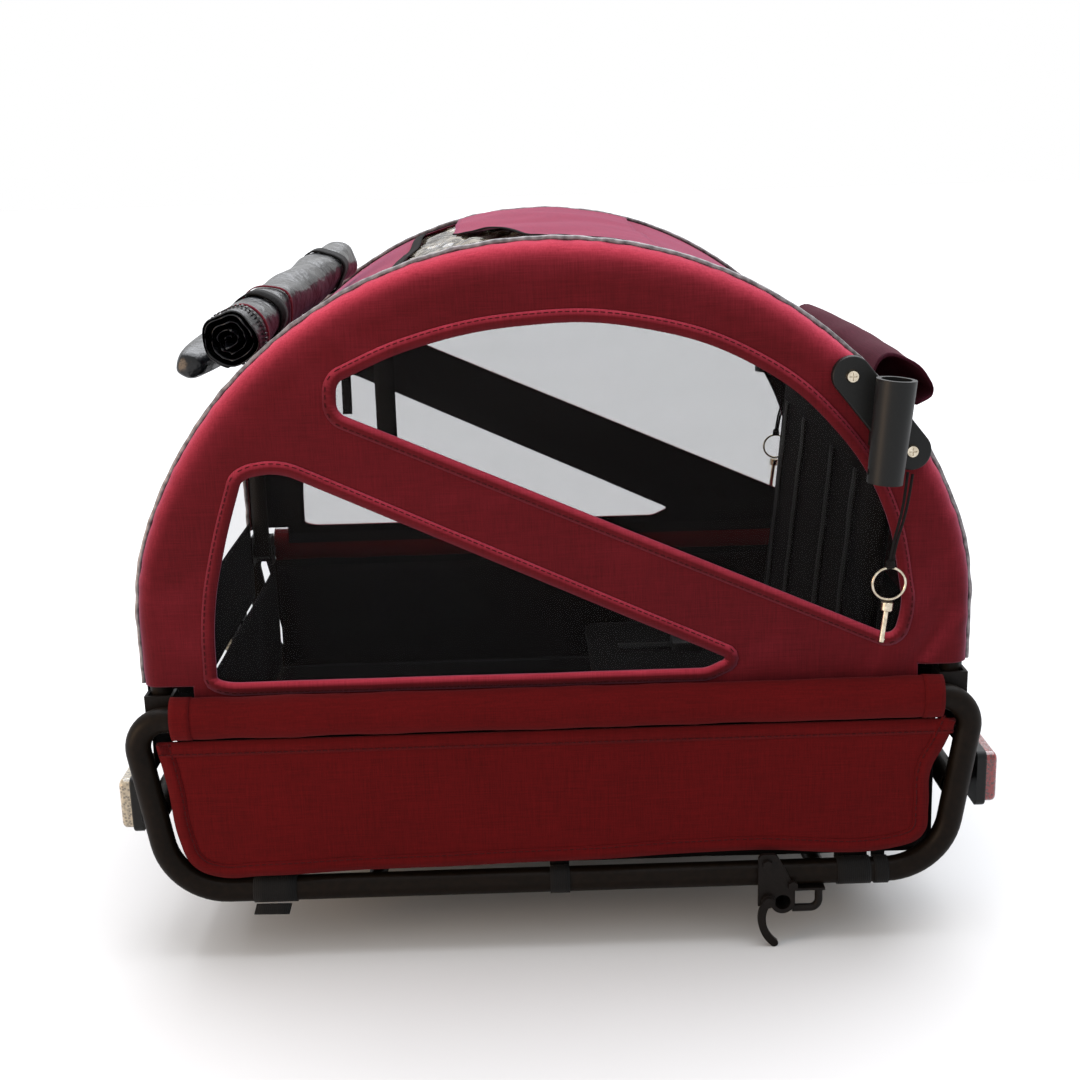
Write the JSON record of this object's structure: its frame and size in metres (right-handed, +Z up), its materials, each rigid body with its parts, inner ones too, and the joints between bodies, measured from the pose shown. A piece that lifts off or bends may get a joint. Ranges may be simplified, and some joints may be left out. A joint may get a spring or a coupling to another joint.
{
  "type": "child bicycle trailer",
  "caption": "Folding child bicycle trailer cabin: steel tube side frames and hoops, red cloth dome with glazed windows, rolled front cover, axle and handle sockets",
  "frame": {"origin": "under the middle of the cabin, on the plane that touches the two release levers, the lowest points", "axes": "X from front to rear, Y from the left side to the right side, Z up"},
  "size_m": [0.9, 0.758, 0.7224],
  "materials": {
    "frame_paint": "gloss",
    "bracket_steel": "satin",
    "lever_steel": "satin",
    "plated_steel": "polished",
    "red_cloth": "woven",
    "black_cloth": "woven",
    "black_webbing": "woven",
    "reflective_piping": "satin",
    "clear_film": "clear",
    "rolled_cover": "satin",
    "black_plastic": "moulded",
    "button_red": "moulded",
    "white_lens": "moulded",
    "red_lens": "moulded"
  },
  "bodies": {
    "base": {"bracket_bolts": "plated_steel", "cover_ties": "black_webbing", "floor_cross_tubes": "frame_paint", "floor_panel": "black_cloth", "front_apron": "black_cloth", "front_cover_roll": "rolled_cover", "front_cross_tube": "frame_paint", "front_reflectors": "white_lens", "harness_buckles": "black_plastic", "harness_webbing": "black_webbing", "hinge_brackets": "frame_paint", "left_axle_bracket": "bracket_steel", "left_guard_bar": "bracket_steel", "left_lower_panel": "red_cloth", "left_rail_sleeve": "red_cloth", "left_side_frame": "frame_paint", "lever_pins": "plated_steel", "pivot_bolts": "plated_steel", "rail_straps": "black_webbing", "rain_cover_roll": "rolled_cover", "rear_apron": "black_cloth", "rear_cross_tube": "frame_paint", "rear_flap": "red_cloth", "rear_panel": "red_cloth", "rear_reflectors": "red_lens", "reflector_cases": "black_plastic", "right_axle_bracket": "bracket_steel", "right_guard_bar": "bracket_steel", "right_lower_panel": "red_cloth", "right_rail_sleeve": "red_cloth", "right_side_frame": "frame_paint", "roof_cover": "red_cloth", "seat_back": "black_cloth", "seat_base": "black_cloth", "shade_flap": "red_cloth", "skylight_film": "clear_film", "tub_end_walls": "black_cloth", "tub_side_walls": "black_cloth"},
    "left_dome": {"left_hoop": "frame_paint", "left_side_panel": "red_cloth", "left_windows": "clear_film", "left_piping": "reflective_piping", "left_handle_socket": "black_plastic", "left_socket_screws": "plated_steel", "left_pin_lanyard": "black_webbing", "left_split_ring": "plated_steel", "left_locking_pin": "plated_steel"},
    "right_dome": {"right_hoop": "frame_paint", "right_side_panel": "red_cloth", "right_windows": "clear_film", "right_piping": "reflective_piping", "right_handle_socket": "black_plastic", "right_socket_screws": "plated_steel", "right_pin_lanyard": "black_webbing", "right_split_ring": "plated_steel", "right_locking_pin": "plated_steel"},
    "left_lever": {"left_release_lever": "lever_steel"},
    "right_lever": {"right_release_lever": "lever_steel"},
    "left_button": {"left_buckle_button": "button_red"},
    "right_button": {"right_buckle_button": "button_red"}
  },
  "joints": [
    {"name": "left_dome_fold", "type": "hinge", "parent": "base", "child": "left_dome", "pos_m": [0, -0.31, 0.259], "axis": [-1, 0, 0], "range_deg": [0, 90], "deforming": ["roof_cover", "skylight_film", "shade_flap", "rear_panel", "rear_flap", "front_cover_roll", "rain_cover_roll", "cover_ties", "seat_back", "harness_webbing"]},
    {"name": "right_dome_fold", "type": "hinge", "parent": "base", "child": "right_dome", "pos_m": [0, 0.31, 0.259], "axis": [1, 0, 0], "range_deg": [0, 58.5]},
    {"name": "left_lever_release", "type": "hinge", "parent": "base", "child": "left_lever", "pos_m": [0.209, -0.36, 0.05], "axis": [0, 1, 0], "range_deg": [0, 30], "stiffness_Nm_per_rad": 1.2, "springref_deg": -28.65},
    {"name": "right_lever_release", "type": "hinge", "parent": "base", "child": "right_lever", "pos_m": [0.209, 0.36, 0.05], "axis": [0, 1, 0], "range_deg": [0, 30], "stiffness_Nm_per_rad": 1.2, "springref_deg": -28.65},
    {"name": "left_buckle_press", "type": "slide", "parent": "base", "child": "left_button", "axis": [0, 0, -1], "range_m": [0, 0.003], "stiffness_N_per_m": 300, "springref_m": -0.002},
    {"name": "right_buckle_press", "type": "slide", "parent": "base", "child": "right_button", "axis": [0, 0, -1], "range_m": [0, 0.003], "stiffness_N_per_m": 300, "springref_m": -0.002}
  ],
  "couplings": [
    {"joint": "right_dome_fold", "follows": "left_dome_fold", "ratio": 0.65}
  ]
}
